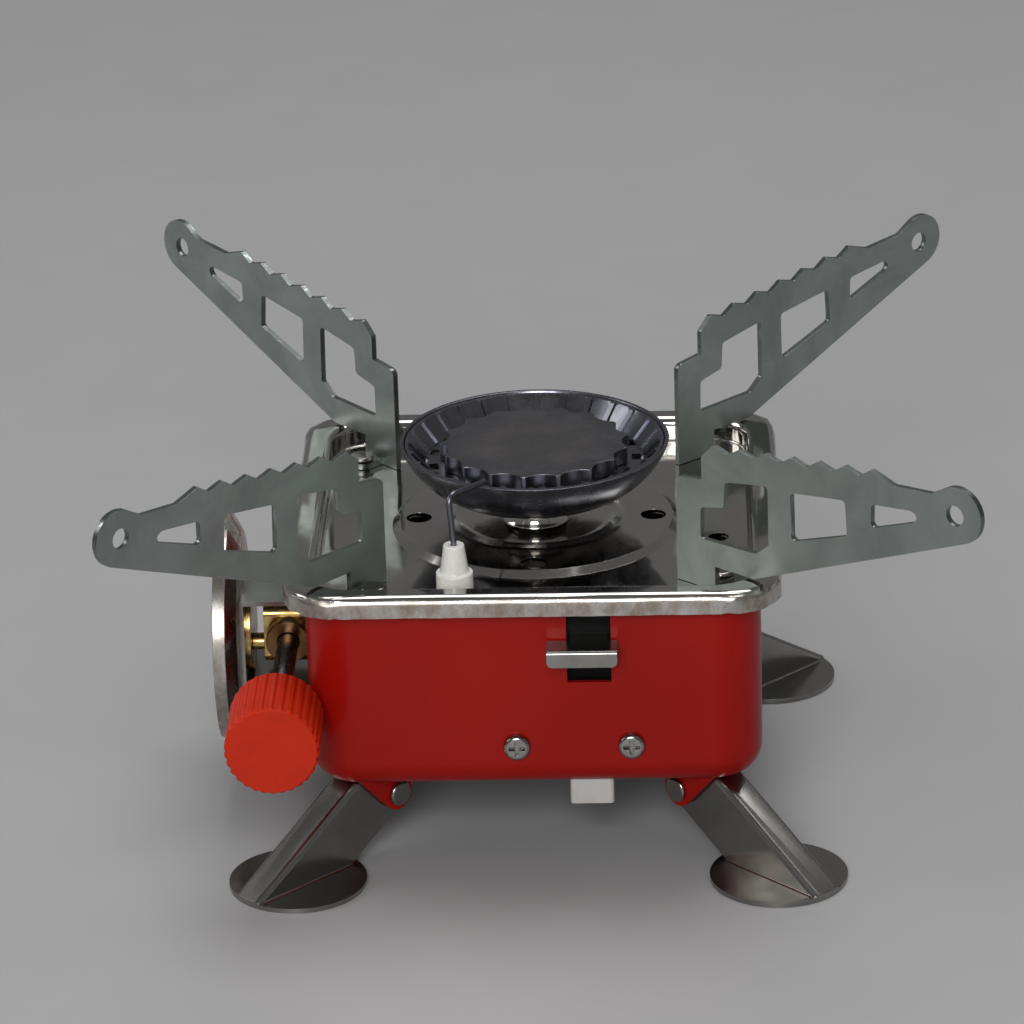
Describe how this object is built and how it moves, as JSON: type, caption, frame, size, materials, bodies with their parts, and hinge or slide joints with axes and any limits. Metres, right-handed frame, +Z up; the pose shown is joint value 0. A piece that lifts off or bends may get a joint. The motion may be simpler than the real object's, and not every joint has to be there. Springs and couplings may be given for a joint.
{
  "type": "gas stove",
  "caption": "Small folding camping gas stove: square sheet-metal body, round burner, toothed pot supports and legs that fold in, side gas connector with knob, and a piezo igniter.",
  "frame": {"origin": "on the ground under the burner's axis, midway between the four feet", "axes": "+X to the right seen from the igniter's side, +Y to the back, +Z up"},
  "size_m": [0.1635, 0.1656, 0.0924],
  "materials": {
    "red_paint": "gloss",
    "mirror_steel": "mirror polished",
    "bright_steel": "bright plated",
    "zinc_steel": "zinc plated, semi gloss",
    "dark_steel": "heat darkened",
    "brass": "turned",
    "cast_alloy": "as cast",
    "orange_plastic": "moulded",
    "white_plastic": "moulded",
    "white_ceramic": "glazed",
    "black_rubber": "matt"
  },
  "bodies": {
    "stove_body": {"body_shell": "red_paint", "top_tray": "mirror_steel", "connector_flange": "mirror_steel", "burner_collar": "mirror_steel", "leg_rivets": "bright_steel", "support_rivets": "bright_steel", "connector_bracket": "bright_steel", "bracket_rivets": "bright_steel", "igniter_bracket": "bright_steel", "igniter_screws": "bright_steel", "electrode_clip": "bright_steel", "burner_locknut": "bright_steel", "igniter_spring": "bright_steel", "igniter_hammer": "bright_steel", "burner_bowl": "dark_steel", "flame_ring": "dark_steel", "burner_cap": "dark_steel", "electrode_wire": "dark_steel", "valve_body": "brass", "valve_locknut": "brass", "gas_jet": "brass", "gland_nut": "brass", "inlet_tube": "brass", "connector_nose": "brass", "mixing_tube": "cast_alloy", "igniter_case": "white_plastic", "electrode_insulator": "white_ceramic", "piezo_crystal": "white_ceramic", "stem_seal": "black_rubber", "connector_seal": "black_rubber", "ignition_lead": "black_rubber"},
    "leg_front_left": {"leg_front_left": "bright_steel"},
    "leg_front_right": {"leg_front_right": "bright_steel"},
    "leg_rear_right": {"leg_rear_right": "bright_steel"},
    "leg_rear_left": {"leg_rear_left": "bright_steel"},
    "support_front_left": {"pot_support_front_left": "zinc_steel"},
    "support_front_right": {"pot_support_front_right": "zinc_steel"},
    "support_rear_right": {"pot_support_rear_right": "zinc_steel"},
    "support_rear_left": {"pot_support_rear_left": "zinc_steel"},
    "knob": {"control_knob": "orange_plastic", "valve_stem": "dark_steel"},
    "igniter_button": {"igniter_lever": "bright_steel", "igniter_plunger": "white_plastic"}
  },
  "joints": [
    {"name": "leg_front_left_fold", "type": "hinge", "parent": "stove_body", "child": "leg_front_left", "pos_m": [-0.03069, -0.03069, 0.0131], "axis": [0.7071, -0.7071, 0], "range_deg": [0, 140]},
    {"name": "leg_front_right_fold", "type": "hinge", "parent": "stove_body", "child": "leg_front_right", "pos_m": [0.03069, -0.03069, 0.0131], "axis": [0.7071, 0.7071, 0], "range_deg": [0, 140]},
    {"name": "leg_rear_right_fold", "type": "hinge", "parent": "stove_body", "child": "leg_rear_right", "pos_m": [0.03069, 0.03069, 0.0131], "axis": [-0.7071, 0.7071, 0], "range_deg": [0, 140]},
    {"name": "leg_rear_left_fold", "type": "hinge", "parent": "stove_body", "child": "leg_rear_left", "pos_m": [-0.03069, 0.03069, 0.0131], "axis": [-0.7071, -0.7071, 0], "range_deg": [0, 140]},
    {"name": "support_front_left_turn", "type": "hinge", "parent": "stove_body", "child": "support_front_left", "pos_m": [-0.03055, -0.0362, 0.0566], "axis": [0, 0, 1], "range_deg": [0, 132.3]},
    {"name": "support_front_right_turn", "type": "hinge", "parent": "stove_body", "child": "support_front_right", "pos_m": [0.0362, -0.03055, 0.0566], "axis": [0, 0, 1], "range_deg": [0, 130.8]},
    {"name": "support_rear_right_turn", "type": "hinge", "parent": "stove_body", "child": "support_rear_right", "pos_m": [0.03055, 0.0362, 0.0566], "axis": [0, 0, 1], "range_deg": [0, 138.1]},
    {"name": "support_rear_left_turn", "type": "hinge", "parent": "stove_body", "child": "support_rear_left", "pos_m": [-0.0362, 0.03055, 0.0566], "axis": [0, 0, 1], "range_deg": [0, 137]},
    {"name": "knob_turn", "type": "hinge", "parent": "stove_body", "child": "knob", "pos_m": [-0.0496, 0, 0.0345], "axis": [0, -1, 0], "range_deg": [-180, 360]},
    {"name": "igniter_press", "type": "slide", "parent": "stove_body", "child": "igniter_button", "axis": [0, 0, -1], "range_m": [0, 0.005], "stiffness_N_per_m": 1500, "deforming": ["igniter_spring"]}
  ]
}
